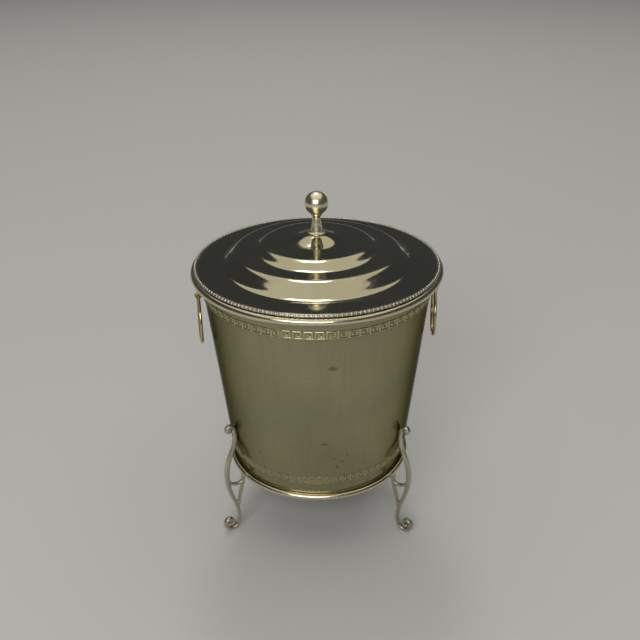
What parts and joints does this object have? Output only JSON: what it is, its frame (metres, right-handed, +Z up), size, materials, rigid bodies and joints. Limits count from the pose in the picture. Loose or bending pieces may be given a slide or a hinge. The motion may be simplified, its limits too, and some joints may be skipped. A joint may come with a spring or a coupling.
{
  "type": "champagne bucket stand",
  "caption": "Round tapered metal champagne bucket with a stepped lid and ball knob, on scroll legs, with a drop ring handle on each side.",
  "frame": {"origin": "on the bucket's axis at floor level", "axes": "+Z up along the bucket's axis, -Y the front, between the two front legs, +X towards the right-hand ring handle"},
  "size_m": [0.323, 0.322, 0.4729],
  "materials": {
    "bucket_brass": "satin aged brass, brushed upright",
    "rim_brass": "rubbed brass",
    "lid_brass": "polished aged brass",
    "bead_metal": "bright worn beads",
    "knob_brass": "polished brass",
    "cast_leg": "pale cast brass",
    "handle_brass": "polished brass",
    "steel_wire": "drawn steel",
    "fixing_brass": "dull brass"
  },
  "bodies": {
    "root": {"bucket_wall": "bucket_brass", "rim_roll": "rim_brass", "rim_wire": "steel_wire", "bucket_floor": "bucket_brass", "base_ring": "rim_brass", "leg_front_left": "cast_leg", "leg_front_right": "cast_leg", "leg_back": "cast_leg", "leg_screws": "fixing_brass", "handle_eye_left": "handle_brass", "handle_plate_left": "handle_brass", "handle_nut_left": "fixing_brass", "handle_eye_right": "handle_brass", "handle_plate_right": "handle_brass", "handle_nut_right": "fixing_brass"},
    "lid": {"lid_dome": "lid_brass", "lid_bead_ring": "bead_metal", "lid_collar": "lid_brass", "knob_base": "knob_brass", "knob_stem": "knob_brass", "knob_ball": "knob_brass", "knob_stud": "steel_wire", "knob_washer": "fixing_brass", "knob_nut": "fixing_brass"},
    "ring_left": {"handle_ring_left": "handle_brass"},
    "ring_right": {"handle_ring_right": "handle_brass"}
  },
  "joints": [
    {"name": "lid_lift", "type": "slide", "parent": "root", "child": "lid", "axis": [0, 0, 1], "range_m": [0, 0.15]},
    {"name": "ring_left_swing", "type": "hinge", "parent": "root", "child": "ring_left", "pos_m": [-0.15353, -0.01208, 0.3365], "axis": [-0.1994, 0.9799, 0], "range_deg": [-6, 150]},
    {"name": "ring_right_swing", "type": "hinge", "parent": "root", "child": "ring_right", "pos_m": [0.15353, 0.01208, 0.3365], "axis": [-0.0436, -0.999, 0], "range_deg": [-6, 150]}
  ]
}
